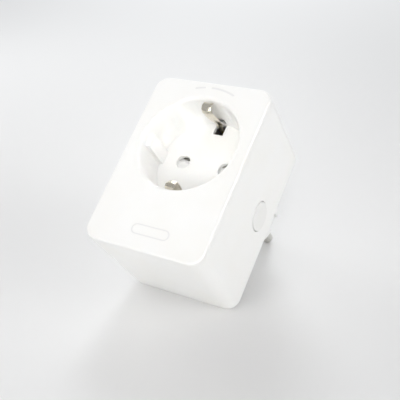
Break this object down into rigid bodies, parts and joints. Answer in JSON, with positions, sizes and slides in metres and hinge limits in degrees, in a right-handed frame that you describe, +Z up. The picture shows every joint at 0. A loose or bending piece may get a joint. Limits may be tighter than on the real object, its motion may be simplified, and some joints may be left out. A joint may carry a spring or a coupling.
{
  "type": "plug-in power meter",
  "caption": "Plug-in power meter: white tapered box with a side-earth outlet in its face, a push button in its side and a two-pin side-earth plug on its back.",
  "frame": {"origin": "centre of the base of the box round the meter as it lies face up on its heel and its pin tips", "axes": "+Z up from the table, +X to the right across the face, +Y away from the viewer of the face; the face leans back so that it points to -Y and +Z"},
  "size_m": [0.0502, 0.0876, 0.0799],
  "materials": {
    "white_case": "semi-matt moulded, fine spark texture",
    "white_button": "semi-matt moulded",
    "shutter_plastic": "satin moulded",
    "natural_plastic": "moulded",
    "black_plastic": "moulded",
    "relay_plastic": "moulded",
    "nickel": "nickel plate, satin",
    "spring_steel": "drawn",
    "screw_steel": "zinc plated",
    "copper": "tinned copper",
    "winding_copper": "enamelled wire",
    "silver_contact": "silver alloy",
    "soft_iron": "plated",
    "board_green": "solder mask",
    "ferrite": "sintered",
    "capacitor_sleeve": "shrink sleeve",
    "capacitor_box": "moulded box",
    "varistor_blue": "dipped epoxy",
    "ceramic_white": "fired",
    "led_lens": "clear epoxy"
  },
  "bodies": {
    "case": {"front_cover": "white_case", "rear_housing": "white_case", "case_screws": "screw_steel", "shutter_cage": "natural_plastic", "cage_screws": "screw_steel", "shutter_spring": "spring_steel", "outlet_clip_neutral": "nickel", "outlet_clip_live": "nickel", "earth_spring_top": "nickel", "earth_spring_bottom": "nickel", "earth_bridge": "copper", "plug_earth_top": "nickel", "plug_earth_bottom": "nickel", "earth_pin_socket": "nickel", "plug_pin_neutral": "nickel", "plug_pin_live": "nickel", "main_board": "board_green", "board_screws": "screw_steel", "line_busbar": "copper", "load_busbar": "copper", "button_board": "board_green", "radio_board": "board_green", "switch_body": "black_plastic", "switch_dome": "spring_steel", "status_leds": "led_lens", "relay_cover": "relay_plastic", "relay_base": "relay_plastic", "relay_yoke": "soft_iron", "relay_bobbin": "natural_plastic", "relay_winding": "winding_copper", "relay_core": "soft_iron", "fixed_contact": "silver_contact", "contact_post": "copper", "transformer_core": "ferrite", "transformer_coil": "winding_copper", "transformer_base": "black_plastic", "supply_capacitors": "capacitor_sleeve", "suppression_capacitor": "capacitor_box", "surge_varistor": "varistor_blue", "fuse": "ceramic_white", "filter_choke": "ferrite", "choke_winding": "winding_copper", "bridge_rectifier": "black_plastic", "supply_controller": "black_plastic", "metering_chip": "black_plastic", "current_shunt": "copper", "radio_shield": "silver_contact", "radio_chip": "black_plastic", "radio_antenna": "ceramic_white"},
    "button": {"button_cap": "white_button"},
    "plunger": {"switch_plunger": "black_plastic"},
    "shutter_disc": {"shutter": "shutter_plastic"},
    "armature": {"relay_armature": "soft_iron", "contact_blade": "copper", "moving_contact": "silver_contact"}
  },
  "joints": [
    {"name": "button_press", "type": "slide", "parent": "case", "child": "button", "axis": [-1, 0, 0], "range_m": [0, 0.0005], "stiffness_N_per_m": 2600, "springref_m": -0.0002},
    {"name": "plunger_press", "type": "slide", "parent": "case", "child": "plunger", "axis": [-1, 0, 0], "range_m": [0, 0.0005]},
    {"name": "shutter_turn", "type": "hinge", "parent": "case", "child": "shutter_disc", "pos_m": [0, 0.00404, 0.04694], "axis": [0, -0.6395, 0.7688], "range_deg": [0, 44], "stiffness_Nm_per_rad": 0.01, "springref_deg": -20.05},
    {"name": "armature_pull", "type": "hinge", "parent": "case", "child": "armature", "pos_m": [-0.018, -0.01509, 0.02459], "axis": [0, 0.7688, 0.6395], "range_deg": [0, 3.5], "stiffness_Nm_per_rad": 0.05, "springref_deg": -5.73}
  ],
  "couplings": [
    {"joint": "plunger_press", "follows": "button_press", "ratio": 1}
  ]
}
